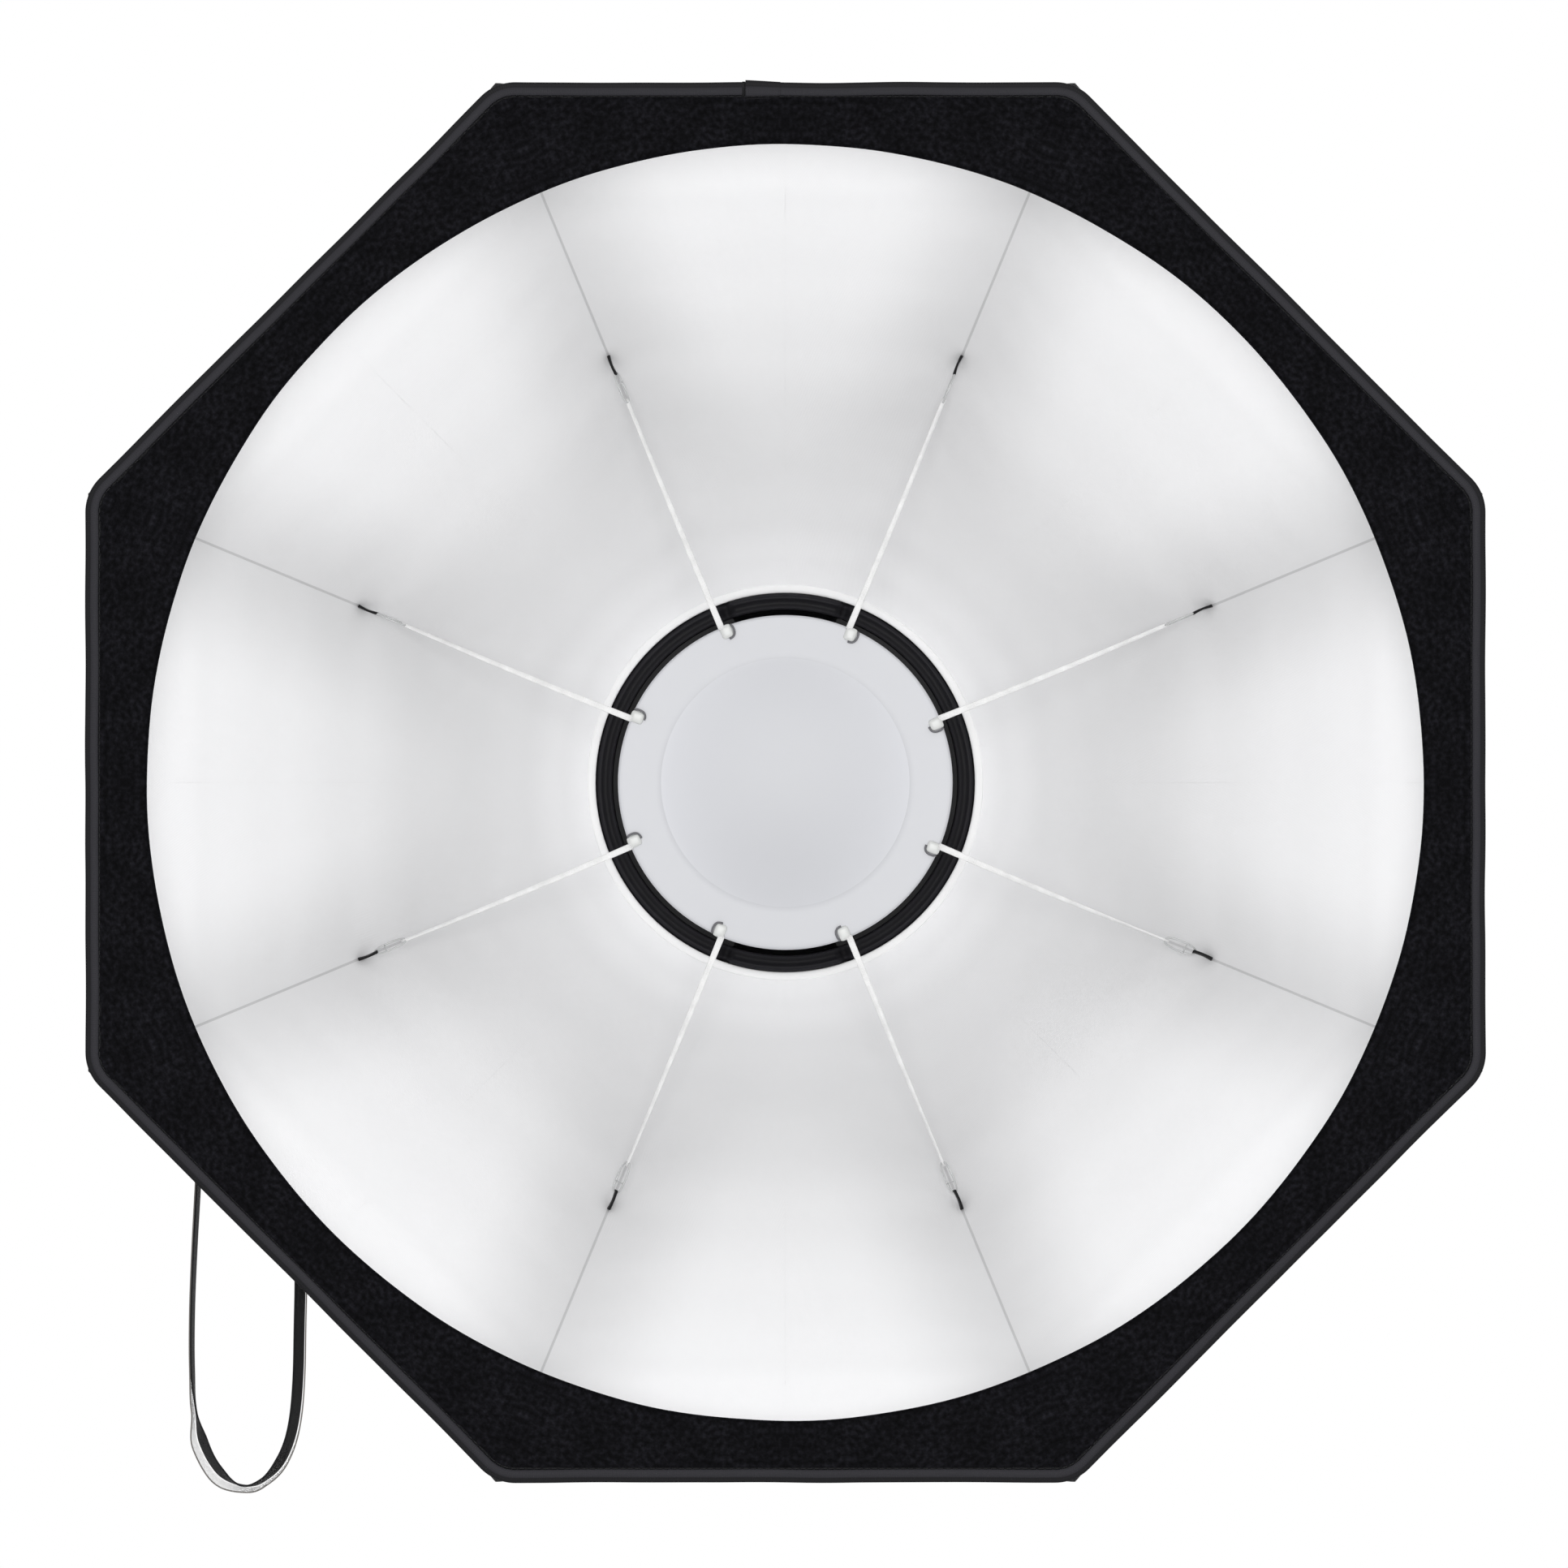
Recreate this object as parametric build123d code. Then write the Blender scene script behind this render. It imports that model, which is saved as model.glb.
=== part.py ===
from build123d import *
import math
import os

# Studio softbox: an eight-gore folding fabric dish on a round speedring.
# The lamp axis runs along Y. The open front faces -Y, +Z is up, and the
# origin is on the axis, in the plane of the speedring.
# "Forward" is the distance towards the front, so forward = -y.
# A gore lies between two rods, and each half of it hangs on its own rod.

GORES = 8
GORE_ANGLE = 360 / GORES
HALF_GORE = GORE_ANGLE / 2
FIRST_ROD_AZIMUTH = HALF_GORE

# Canopy profile in the plane of a rod: one arc from the ring to the corner
RING_EDGE_RADIUS = 94.5
RING_EDGE_FORWARD = 6.9
CORNER_RADIUS = 339.9
RIM_FORWARD = 202.7
PROFILE_SAGITTA = 26.0
MIDDLE_SAGITTA = 22.0
FABRIC_THICKNESS = 1.2
SEAM_GAP = 0.15

# Front band
BAND_BACK = 203.0
BAND_THICKNESS = 1.2
BAND_EDGE_APOTHEM = 317.5
OPENING_RADIUS = 289.5

# Rods, which lie outside the fabric on an arc with the same centre
ROD_RADIUS = 2.5
ROD_OFFSET = 5.0
ROD_FIT = 0.05
HINGE_RADIUS = 97.0
FERRULE_RADIUS = 3.4
FERRULE_LENGTH = 16.0
NOSE_WIDTH = 6.8
ROD_START = 6.0
ROD_END_SHORT = 12.0
CAP_RADIUS = 3.1
CAP_GRIP = 10.0
CAP_NOSE = 3.0
CAP_BORE_DEPTH = 20.0

# Hinge forks on the speedring
PIN_RADIUS = 1.5
PIN_RUNNING_FIT = 0.05
PIN_HELD_FIT = 0.02
PIN_LENGTH = 12.4
EAR_GAP = 7.5
EAR_THICKNESS = 2.2
EAR_ROUND = 3.2
EAR_TOP = 3.4
EAR_ROOT_OVERLAP = 2.0

# Speedring
BODY_BORE = 74.5
BODY_RADIUS = 90.0
BODY_BACK = -14.0
BODY_FRONT = 4.0
TRIM_BORE = 72.0
TRIM_RADIUS = 92.0
TRIM_FRONT = 8.0
TRIM_STEP_RADIUS = 83.5
TRIM_STEP_FRONT = 5.5
TRIM_CHAMFER = 1.3
TRIM_PAD_HEIGHT = 1.6
TRIM_PAD_ANGLE = 30.0
COVER_THICKNESS = 3.0
SCREW_CIRCLE = 82.0
SCREW_RADIUS = 2.0
SCREW_HEAD_RADIUS = 3.5
SCREW_HEAD_HEIGHT = 2.0
SCREW_DEPTH = 12.0
SCREW_FIT = 0.05

# Turning lamp insert
TURN_GAP = 0.3
FLANGE_RADIUS = 74.2
BARREL_RADIUS = 71.7
BARREL_BACK = -30.0
BARREL_FRONT = 6.0
SLEEVE_RADIUS = 52.5
LAMP_BORE = 50.0
SLEEVE_FIT = 0.02
LIP_RADIUS = 55.5
LIP_THICKNESS = 1.5

# Deflector disc, its clips and cords
DISC_FORWARD = 74.0
DISC_RADIUS = 79.2
DISC_THICKNESS = 1.6
DOME_RADIUS = 60.0
DOME_HEIGHT = 5.0
CLIP_INNER = 72.5
CLIP_OUTER = 82.0
CLIP_WIDTH = 6.5
CLIP_HEIGHT = 4.6
CLIP_FIT = 0.1
CLIP_SLOT_INNER = 67.5
CORD_RADIUS = 1.3
CORD_END = 193.7

# Tab and loop in each seam
LOOP_INNER = 194.0
LOOP_OUTER = 210.0
LOOP_WIDTH = 6.4
LOOP_WIRE = 1.0
TAB_WIDTH = 2.0
TAB_HEIGHT = 5.0
TAB_START = 210.3
TAB_CLEARANCE = 0.5

# Carry strap, a flat web hung outside the lower left gore
STRAP_FORWARD = 172.0
STRAP_WIDTH = 8.0
STRAP_THICKNESS = 1.3
ARC_SHARE = 0.45
STRAP_ROUTE = [
    (-267.5, -157.0),
    (-268.8, -182.2),
    (-270.6, -213.7),
    (-271.8, -243.4),
    (-271.8, -273.1),
    (-269.5, -293.5),
    (-264.3, -309.0),
    (-256.2, -319.4),
    (-246.5, -323.5),
    (-236.5, -318.3),
    (-229.1, -307.6),
    (-225.0, -293.5),
    (-223.2, -273.1),
    (-222.8, -248.0),
    (-222.2, -225.0),
    (-222.8, -203.0),
]


def arc_centre(start, end, sagitta):
    """Centre and radius of an arc that bulges outwards and back from its chord."""
    run = end[0] - start[0]
    rise = end[1] - start[1]
    chord = math.hypot(run, rise)
    radius = chord**2 / (8 * sagitta) + sagitta / 2
    reach = (radius - sagitta) / chord
    middle = ((start[0] + end[0]) / 2, (start[1] + end[1]) / 2)
    return (middle[0] - rise * reach, middle[1] + run * reach), radius


RING_EDGE = (RING_EDGE_RADIUS, RING_EDGE_FORWARD)
CORNER = (CORNER_RADIUS, RIM_FORWARD)
MIDDLE_EDGE = (CORNER_RADIUS * math.cos(math.radians(HALF_GORE)), RIM_FORWARD)
(ARC_R, ARC_D), ARC_RADIUS = arc_centre(RING_EDGE, CORNER, PROFILE_SAGITTA)
ROD_ARC = ARC_RADIUS + ROD_OFFSET
HINGE_TURN = math.degrees(math.acos((HINGE_RADIUS - ARC_R) / ROD_ARC))
HINGE_FORWARD = ARC_D - ROD_ARC * math.sin(math.radians(HINGE_TURN))
CORNER_TURN = math.degrees(math.atan2(ARC_D - RIM_FORWARD, CORNER_RADIUS - ARC_R))
ROD_LENGTH = math.radians(HINGE_TURN - CORNER_TURN) * ROD_ARC - ROD_END_SHORT


def around(shape, azimuth):
    """Turn a shape made in the plane of azimuth 0 to its own azimuth."""
    return Rot(0, -azimuth, 0) * shape


def rod_azimuth(number):
    return FIRST_ROD_AZIMUTH + GORE_ANGLE * (number - 1)


def ring(inner, outer, back, front):
    """A plain ring about the lamp axis, between two forward distances."""
    wall = Pos((inner + outer) / 2, -(back + front) / 2) * Rectangle(outer - inner, front - back)
    return revolve(wall, axis=Axis.Y)


def arc_strip(plane, start, end, sagitta):
    """The section of the fabric in one radial plane."""
    (centre_r, centre_d), radius = arc_centre(start, end, sagitta)
    grow = (radius + FABRIC_THICKNESS) / radius
    outer = [
        (centre_r + (p[0] - centre_r) * grow, centre_d + (p[1] - centre_d) * grow)
        for p in (start, end)
    ]
    points = [Vector(p[0], -p[1]) for p in (start, end, outer[1], outer[0])]
    lines = [
        RadiusArc(points[0], points[1], radius),
        Line(points[1], points[2]),
        RadiusArc(points[2], points[3], -(radius + FABRIC_THICKNESS)),
        Line(points[3], points[0]),
    ]
    return plane * make_face(lines)


def half_panel(side):
    """Half a gore beside its rod at azimuth 0; side is 1 or -1."""
    turn = math.radians(HALF_GORE * side)
    across = Vector(-math.sin(turn), 0, math.cos(turn)) * side
    rod_plane = Plane((0, 0, SEAM_GAP * side), x_dir=(1, 0, 0), z_dir=(0, 0, 1))
    middle_plane = Plane(
        across * -SEAM_GAP,
        x_dir=(math.cos(turn), 0, math.sin(turn)),
        z_dir=(-math.sin(turn), 0, math.cos(turn)),
    )
    beside_rod = arc_strip(rod_plane, RING_EDGE, CORNER, PROFILE_SAGITTA)
    beside_twin = arc_strip(middle_plane, RING_EDGE, MIDDLE_EDGE, MIDDLE_SAGITTA)
    return loft([beside_rod, beside_twin], ruled=True)


def corner_band():
    """One corner of the flat front band, between two gore middles."""
    turn = math.radians(HALF_GORE)
    corner = BAND_EDGE_APOTHEM / math.cos(turn)
    gap = SEAM_GAP / math.sin(turn)
    reach = BAND_EDGE_APOTHEM
    edge = [
        (gap, 0),
        (gap + reach * math.cos(turn), -reach * math.sin(turn)),
        (corner, 0),
        (gap + reach * math.cos(turn), reach * math.sin(turn)),
    ]
    wedge = Plane.XZ * (make_face(Polyline(*edge, close=True)) - Circle(OPENING_RADIUS))
    return Pos(0, -BAND_BACK, 0) * extrude(wedge, BAND_THICKNESS)


def rod_tube(start, length, radius):
    """A round bar along the rod's arc, from a distance past the hinge."""
    turn = math.radians(HINGE_TURN - math.degrees(start / ROD_ARC))
    out = Vector(math.cos(turn), math.sin(turn), 0)
    centre = Vector(ARC_R, -ARC_D, 0)
    along = Vector(math.sin(turn), -math.cos(turn), 0)
    section = Plane(centre + out * ROD_ARC, x_dir=out, z_dir=along) * Circle(radius)
    spin = Axis(centre, (0, 0, -1))
    return revolve(section, axis=spin, revolution_arc=math.degrees(length / ROD_ARC))


def at_hinge(shape):
    return Pos(HINGE_RADIUS, -HINGE_FORWARD, 0) * shape


def support_rod():
    return rod_tube(ROD_START, ROD_LENGTH - ROD_START, ROD_RADIUS)


def root_ferrule():
    """The rod's metal end, with a round nose about the hinge pin."""
    nose = at_hinge(Cylinder(FERRULE_RADIUS, NOSE_WIDTH))
    shape = nose + rod_tube(0, FERRULE_LENGTH, FERRULE_RADIUS)
    shape -= rod_tube(ROD_START - ROD_FIT, FERRULE_LENGTH, ROD_RADIUS + ROD_FIT)
    pin_hole = at_hinge(Cylinder(PIN_RADIUS + PIN_RUNNING_FIT, PIN_LENGTH))
    return shape - pin_hole


def tip_cap():
    cap = rod_tube(ROD_LENGTH - CAP_GRIP, CAP_GRIP + CAP_NOSE, CAP_RADIUS)
    bore = rod_tube(ROD_LENGTH - CAP_BORE_DEPTH, CAP_BORE_DEPTH + ROD_FIT, ROD_RADIUS + ROD_FIT)
    return cap - bore


def hinge_pin():
    return at_hinge(Cylinder(PIN_RADIUS, PIN_LENGTH))


def hinge_ears():
    """Two fork plates beside the rod's ferrule."""
    root = BODY_RADIUS - EAR_ROOT_OVERLAP
    length = HINGE_RADIUS - root
    low = HINGE_FORWARD - EAR_ROUND
    arm = Pos(root + length / 2, -(low + EAR_TOP) / 2) * Rectangle(length, EAR_TOP - low)
    plate = arm + Pos(HINGE_RADIUS, -HINGE_FORWARD) * Circle(EAR_ROUND)
    plate -= Pos(HINGE_RADIUS, -HINGE_FORWARD) * Circle(PIN_RADIUS + PIN_HELD_FIT)
    ear = extrude(plate, EAR_THICKNESS)
    return [Pos(0, 0, z) * ear for z in (EAR_GAP / 2, -EAR_GAP / 2 - EAR_THICKNESS)]


def screw_shank(fit):
    shank = Cylinder(SCREW_RADIUS + fit, SCREW_DEPTH, rotation=(90, 0, 0))
    middle = BODY_BACK - COVER_THICKNESS + SCREW_DEPTH / 2
    return Pos(SCREW_CIRCLE, -middle, 0) * shank


def cover_screw():
    head = Cylinder(SCREW_HEAD_RADIUS, SCREW_HEAD_HEIGHT, rotation=(90, 0, 0))
    middle = BODY_BACK - COVER_THICKNESS - SCREW_HEAD_HEIGHT / 2
    return Pos(SCREW_CIRCLE, -middle, 0) * head + screw_shank(0)


def screw_azimuths():
    return [GORE_ANGLE * k for k in range(GORES)]


def speedring_body():
    body = ring(BODY_BORE, BODY_RADIUS, BODY_BACK, BODY_FRONT)
    for number in range(1, GORES + 1):
        for ear in hinge_ears():
            body += around(ear, rod_azimuth(number))
    for azimuth in screw_azimuths():
        body -= around(screw_shank(SCREW_FIT), azimuth)
    return body


def rear_cover_ring():
    cover = ring(TRIM_BORE, BODY_RADIUS, BODY_BACK - COVER_THICKNESS, BODY_BACK)
    for azimuth in screw_azimuths():
        cover -= around(screw_shank(SCREW_FIT), azimuth)
    return cover


def front_trim_ring():
    """The stepped front ring, with a raised pad at the top and at the bottom."""
    outline = [
        (TRIM_BORE, -BODY_FRONT),
        (TRIM_BORE, -TRIM_STEP_FRONT),
        (TRIM_STEP_RADIUS, -TRIM_STEP_FRONT),
        (TRIM_STEP_RADIUS + TRIM_CHAMFER, -TRIM_FRONT),
        (TRIM_RADIUS - TRIM_CHAMFER, -TRIM_FRONT),
        (TRIM_RADIUS, -TRIM_FRONT + TRIM_CHAMFER),
        (TRIM_RADIUS, -BODY_FRONT),
    ]
    trim = revolve(make_face(Polyline(*outline, close=True)), axis=Axis.Y)
    pad_inner = TRIM_STEP_RADIUS + TRIM_CHAMFER
    pad_outer = TRIM_RADIUS - TRIM_CHAMFER
    pad_wall = Rectangle(pad_outer - pad_inner, 2 * TRIM_PAD_HEIGHT)
    place = Pos((pad_inner + pad_outer) / 2, -TRIM_FRONT)
    pad = revolve(place * pad_wall, axis=Axis.Y, revolution_arc=TRIM_PAD_ANGLE)
    for middle in (90, -90):
        trim += around(pad, middle + TRIM_PAD_ANGLE / 2)
    return trim


def lamp_insert():
    """The turning insert, held by its flange between trim and cover."""
    barrel = ring(SLEEVE_RADIUS, BARREL_RADIUS, BARREL_BACK, BARREL_FRONT)
    flange = ring(SLEEVE_RADIUS, FLANGE_RADIUS, BODY_BACK + TURN_GAP, BODY_FRONT - TURN_GAP)
    return barrel + flange


def grip_sleeve():
    tube = ring(LAMP_BORE, SLEEVE_RADIUS - SLEEVE_FIT, BARREL_BACK, BARREL_FRONT)
    lip = ring(LAMP_BORE, LIP_RADIUS, BARREL_BACK - LIP_THICKNESS, BARREL_BACK)
    return tube + lip


def deflector_disc():
    """A flat rim round a shallow dome, in front of the lamp."""
    back = DISC_FORWARD - DISC_THICKNESS / 2
    front = back + DISC_THICKNESS
    bulge = (DOME_RADIUS**2 + DOME_HEIGHT**2) / (2 * DOME_HEIGHT)
    lines = [
        Line((0, -back - DOME_HEIGHT), (0, -front - DOME_HEIGHT)),
        RadiusArc((0, -front - DOME_HEIGHT), (DOME_RADIUS, -front), -bulge),
        Line((DOME_RADIUS, -front), (DISC_RADIUS, -front)),
        Line((DISC_RADIUS, -front), (DISC_RADIUS, -back)),
        Line((DISC_RADIUS, -back), (DOME_RADIUS, -back)),
        RadiusArc((DOME_RADIUS, -back), (0, -back - DOME_HEIGHT), bulge),
    ]
    return revolve(make_face(lines), axis=Axis.Y)


def deflector_clip():
    """A small jaw that grips the disc's rim."""
    length = CLIP_OUTER - CLIP_INNER
    jaw = Pos((CLIP_INNER + CLIP_OUTER) / 2, -DISC_FORWARD, 0) * Box(length, CLIP_HEIGHT, CLIP_WIDTH)
    half_slot = DISC_THICKNESS / 2 + CLIP_FIT
    slot = ring(CLIP_SLOT_INNER, DISC_RADIUS + CLIP_FIT, DISC_FORWARD - half_slot, DISC_FORWARD + half_slot)
    return jaw - slot


def deflector_cord():
    """The elastic cord from the clip to the loop in the seam."""
    length = CORD_END - CLIP_OUTER
    cord = Cylinder(CORD_RADIUS, length, rotation=(0, 90, 0))
    return Pos(CLIP_OUTER + length / 2, -DISC_FORWARD, 0) * cord


def cord_anchor():
    """A sewn tab, with a flat loop that stands in the plane of the rod."""
    length = LOOP_OUTER - LOOP_INNER
    hole = SlotOverall(length - 2 * LOOP_WIRE, LOOP_WIDTH - 2 * LOOP_WIRE)
    place = Pos(LOOP_INNER + length / 2, -DISC_FORWARD, -LOOP_WIRE / 2)
    loop = place * extrude(SlotOverall(length, LOOP_WIDTH) - hole, LOOP_WIRE)
    low = DISC_FORWARD - TAB_HEIGHT / 2
    high = DISC_FORWARD + TAB_HEIGHT / 2
    ends = [
        ARC_R + math.sqrt(ARC_RADIUS**2 - (ARC_D - forward) ** 2) - TAB_CLEARANCE
        for forward in (low, high)
    ]
    side = Polyline((TAB_START, -low), (ends[0], -low), (ends[1], -high), (TAB_START, -high), close=True)
    tab = Pos(0, 0, -TAB_WIDTH / 2) * extrude(make_face(side), TAB_WIDTH)
    return [loop, tab]


def corner_radii(route):
    """The arc radius that each inner point of a route has room for."""
    radii = []
    for before, here, after in zip(route, route[1:], route[2:]):
        first = Vector(*here) - Vector(*before)
        second = Vector(*after) - Vector(*here)
        half_turn = math.radians(first.get_angle(second)) / 2
        radii.append(ARC_SHARE * min(first.length, second.length) / math.tan(half_turn))
    return radii


def carry_strap():
    radii = corner_radii(STRAP_ROUTE)
    print("strap radii", [round(r, 1) for r in radii])
    route = [(x, -STRAP_FORWARD, z) for x, z in STRAP_ROUTE]
    line = FilletPolyline(*route, radius=radii)
    start = line @ 0
    along = line % 0
    section = Plane(start, x_dir=(0, 1, 0), z_dir=along) * Rectangle(STRAP_WIDTH, STRAP_THICKNESS)
    strap = sweep(section, path=line)
    expected = STRAP_WIDTH * STRAP_THICKNESS * line.length
    print("strap length", round(line.length, 1), "volume ratio", round(strap.volume / expected, 4))
    return strap


def write(name, solids):
    """Write one node as a STEP file of its separate solids."""
    copies = [Solid(s.solid().wrapped) for s in solids]
    export_step(Compound(children=copies), f"parts/{name}.step")


def write_rods():
    for number in range(1, GORES + 1):
        azimuth = rod_azimuth(number)
        write(f"support_rod_{number}", [around(support_rod(), azimuth)])
        write(f"rod_fittings_{number}", [around(s, azimuth) for s in (root_ferrule(), tip_cap())])
        write(f"cord_anchor_{number}", [around(s, azimuth) for s in cord_anchor()])
        write(f"front_band_{number}", [around(corner_band(), azimuth)])
        write(f"canopy_panel_{number}_ccw", [around(half_panel(1), azimuth)])
        write(f"canopy_panel_{number}_cw", [around(half_panel(-1), azimuth)])


def write_ring():
    rods = [rod_azimuth(number) for number in range(1, GORES + 1)]
    write("lamp_insert", [lamp_insert()])
    write("grip_sleeve", [grip_sleeve()])
    write("speedring_body", [speedring_body()])
    write("front_trim_ring", [front_trim_ring()])
    write("rear_cover_ring", [rear_cover_ring()])
    write("hinge_pins", [around(hinge_pin(), a) for a in rods])
    write("cover_screws", [around(cover_screw(), a) for a in screw_azimuths()])
    write("deflector_disc", [deflector_disc()])
    write("deflector_clips", [around(deflector_clip(), a) for a in rods])
    write("deflector_cords", [around(deflector_cord(), a) for a in rods])


os.makedirs("parts", exist_ok=True)
write_ring()
write_rods()
write("carry_strap", [carry_strap()])
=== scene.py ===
from math import atan2, copysign, cos, exp, hypot, pi, radians, sin, sqrt, tan, tau

import bmesh
import bpy
from mathutils import Matrix, Vector, noise


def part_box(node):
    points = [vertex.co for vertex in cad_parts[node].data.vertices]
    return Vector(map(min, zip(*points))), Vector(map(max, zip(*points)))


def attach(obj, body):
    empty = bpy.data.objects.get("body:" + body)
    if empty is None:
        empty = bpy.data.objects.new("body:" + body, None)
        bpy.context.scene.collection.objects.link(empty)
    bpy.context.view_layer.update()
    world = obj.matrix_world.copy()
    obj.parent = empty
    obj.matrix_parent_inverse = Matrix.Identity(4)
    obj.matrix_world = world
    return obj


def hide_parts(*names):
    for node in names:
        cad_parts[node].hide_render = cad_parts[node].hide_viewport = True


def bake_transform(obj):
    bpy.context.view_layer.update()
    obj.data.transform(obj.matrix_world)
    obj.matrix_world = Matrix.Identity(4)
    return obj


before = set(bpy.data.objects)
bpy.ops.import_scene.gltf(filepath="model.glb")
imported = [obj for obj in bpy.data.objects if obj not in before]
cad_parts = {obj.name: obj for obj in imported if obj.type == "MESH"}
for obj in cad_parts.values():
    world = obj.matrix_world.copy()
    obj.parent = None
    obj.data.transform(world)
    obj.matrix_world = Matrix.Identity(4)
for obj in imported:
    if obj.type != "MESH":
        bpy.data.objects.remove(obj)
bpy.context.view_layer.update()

# Studio softbox, in metres. The lamp axis is Y and the open front faces -Y.
# "Forward" is the distance towards the front, so forward = -y.
GORES = 8
HALF = pi / GORES
AWAY = Vector((0, -1, 0))

# Profile of the lining in the plane of a rod, from the ring to the corner
RING_EDGE = (0.0945, 0.0069)
CORNER = (0.3399, 0.2027)
SAGITTA = 0.026
FLAT_FROM = 0.35
SHELL_OUT = 0.0012
FINE_STEPS = 0.6
FINE_WIDTH = 0.037
FINE_SHARE = 0.32

# Front band and its bound edge
EDGE_APOTHEM = 0.3175
CORNER_ROUND = 0.022
OPENING_RADIUS = 0.2895
BAND_FRONT = 0.2042
BINDING_HALF_WIDTH = 0.0036
BINDING_HALF_DEPTH = 0.0019
BINDING_MIDDLE = BAND_FRONT - 0.0006
BINDING_SIDES = 28
BAND_INSET = 0.0068
SEAM_GROOVE = 0.0002
TRIM_BORE = 0.0720
TRIM_RADIUS = 0.0916
POCKET_TURN = 0.06
POCKET_HALF_WIDTH = 0.0125
POCKET_BASE = SHELL_OUT + 0.0022
POCKET_STAND = 0.0028
POCKET_LIP = 0.33
CHANNEL_HALF_WIDTH = 0.0115
POCKET_INNER = SHELL_OUT - 0.0003
PAD_HALF_ANGLE = radians(17)
THREAD_RADIUS = 0.00028
STITCHES = 38
LAP_START = radians(93.3)
LAP_END = radians(90.4)
HALF_SIDE = EDGE_APOTHEM * tan(HALF)

# Hinges, rods and cords
ROD_OFFSET = 0.005
ROD_RADIUS = 0.0025
CAP_RADIUS = 0.0031
SCREW_CIRCLE = 0.082
SCREW_HEAD_RADIUS = 0.0035
SCREW_HEAD_HEIGHT = 0.002
SOCKET_RADIUS = 0.0018
SOCKET_DEPTH = 0.0012
LAMP_BORE = 0.050
SLEEVE_RADIUS = 0.0524
SLEEVE_FRONT = 0.006
SLEEVE_BACK = -0.030
LIP_RADIUS = 0.0555
LIP_THICKNESS = 0.0015
GRIP_RIBS = 40
GRIP_DEPTH = 0.0011
LINING_LAG = 0.0020
LINING_REACH = 0.97
MIDDLE_OVERLAP = 1.0006
DISC_FORWARD = 0.074
DISC_RADIUS = 0.0792
DISC_HALF_THICK = 0.0008
DOME_RADIUS = 0.060
DOME_HEIGHT = 0.005
CORD_START = 0.0785
CORD_END = 0.1965
CLIP_MIDDLE = 0.0765
CLIP_HALF_LENGTH = 0.0033
LOOP_INNER = 0.1945
LOOP_OUTER = 0.2100
TAB_END = 0.2185
LINK_HALF_WIDTH = 0.0031
LINK_WIRE = 0.00045
LINK_BAR = 0.00035
HOOK_WIRE = 0.0005
# Roll of each seam link about its radius, in degrees, rod by rod
LOOP_ROLL = [4, -4, 24, 8, 32, 42, 38, 50]

# Carry strap: the route's points, repeated from the part's own source
STRAP_FORWARD = 0.172
STRAP_WIDTH = 0.008
PALE_SHARE = 0.96
STRAP_ROUTE = [
    (-0.2675, -0.1570),
    (-0.2688, -0.1822),
    (-0.2706, -0.2137),
    (-0.2718, -0.2434),
    (-0.2718, -0.2731),
    (-0.2695, -0.2935),
    (-0.2643, -0.3090),
    (-0.2562, -0.3194),
    (-0.2465, -0.3235),
    (-0.2365, -0.3183),
    (-0.2291, -0.3076),
    (-0.2250, -0.2935),
    (-0.2232, -0.2731),
    (-0.2228, -0.2480),
    (-0.2222, -0.2250),
    (-0.2228, -0.2030),
]

# The room's brightness from sideways (0) to straight ahead (1), lamp powers in
# watts, and the camera
ROOM_LIGHT = [(0.0, 1.0), (0.30, 1.0), (0.55, 0.72), (0.90, 0.72), (1.0, 1.1)]
LAMP_SIZE = 1.6
FRONT_POWER = 60
ABOVE_POWER = 6
BACK_POWER = 20
FLOOR_RADIUS = 2.6
FLOOR_DEPTH = 0.75
CAMERA_PLACE = (-0.0006, -3.2042, -0.0007)
CAMERA_LENS = 151.9


# --- geometry
def arc_centre(start, end, sagitta):
    run = end[0] - start[0]
    rise = end[1] - start[1]
    chord = hypot(run, rise)
    radius = chord**2 / (8 * sagitta) + sagitta / 2
    reach = (radius - sagitta) / chord
    middle = ((start[0] + end[0]) / 2, (start[1] + end[1]) / 2)
    return (middle[0] - rise * reach, middle[1] + run * reach), radius


(ARC_R, ARC_D), ARC_RADIUS = arc_centre(RING_EDGE, CORNER, SAGITTA)
START_TURN = atan2(ARC_D - RING_EDGE[1], RING_EDGE[0] - ARC_R)
END_TURN = atan2(ARC_D - CORNER[1], CORNER[0] - ARC_R)
PROFILE_LENGTH = ARC_RADIUS * (START_TURN - END_TURN)


def evenly(count):
    """Even shares from 0 to 1."""
    return [i / count for i in range(count + 1)]


def smooth(t):
    t = min(1.0, max(0.0, t))
    return t * t * (3 - 2 * t)


def radial(azimuth):
    return Vector((cos(azimuth), 0, sin(azimuth)))


def tangent(azimuth):
    return Vector((-sin(azimuth), 0, cos(azimuth)))


def place(r, forward, azimuth):
    return r * radial(azimuth) + forward * AWAY


def rod_azimuth(number):
    return HALF + 2 * HALF * (number - 1)


def profile(turn, out):
    """A point of the rod's plane, as radius and forward distance."""
    radius = ARC_RADIUS + out
    return ARC_R + radius * cos(turn), ARC_D - radius * sin(turn)


def chord_offset(s):
    """Angle from the rod of a point a share s along the straight line to the gore's middle."""
    c = cos(HALF)
    return atan2(s * c * sin(HALF), 1 - s * (1 - c * c))


def two_paces(step, fine):
    """A share of the way at a mesh step: most steps go to its first, fine part."""
    if step <= FINE_STEPS:
        return fine * step / FINE_STEPS
    return fine + (1 - fine) * (step - FINE_STEPS) / (1 - FINE_STEPS)


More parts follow.
